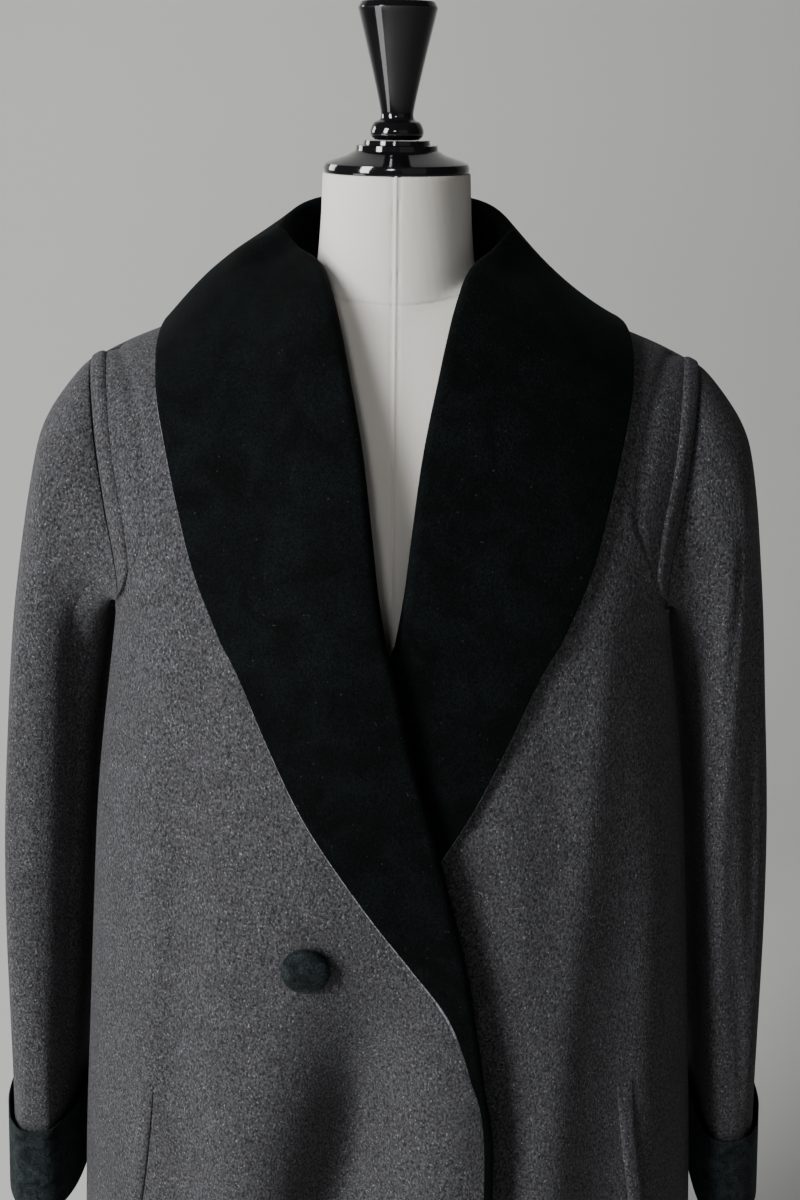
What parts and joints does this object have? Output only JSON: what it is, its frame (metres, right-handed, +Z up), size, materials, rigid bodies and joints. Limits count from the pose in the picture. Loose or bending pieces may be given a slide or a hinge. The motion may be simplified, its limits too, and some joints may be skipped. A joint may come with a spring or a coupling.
{
  "type": "wool overcoat on a dress form",
  "caption": "Wool overcoat with a wide velvet shawl collar, velvet cuffs and a covered button, worn by a canvas dress form with a turned neck cap on a round stand.",
  "frame": {"origin": "middle of the base's flat underside, on the floor", "axes": "+Z up along the stand; the front of the coat faces -Y; +X is the wearer's left side"},
  "size_m": [0.6696, 0.4054, 1.6154],
  "materials": {
    "wool": "napped grey heather coating wool",
    "velvet": "black cotton velvet with a short pile",
    "canvas": "ivory cotton canvas stretched over a padded form",
    "lacquer": "turned wood, gloss black lacquer"
  },
  "bodies": {
    "root": {"front_right": "wool", "front_left": "wool", "back": "wool", "sleeve_upper_right": "wool", "sleeve_under_right": "wool", "sleeve_upper_left": "wool", "sleeve_under_left": "wool", "cuff_right": "velvet", "cuff_left": "velvet", "collar_right": "velvet", "collar_left": "velvet", "under_collar_right": "wool", "under_collar_left": "wool", "armhole_band_right": "wool", "armhole_band_left": "wool", "pocket_welt_right": "wool", "pocket_welt_left": "wool", "button": "velvet", "form_torso": "canvas", "neck_cap": "lacquer", "cap_knob": "lacquer", "stand_pole": "lacquer", "stand_base": "lacquer"}
  },
  "joints": []
}
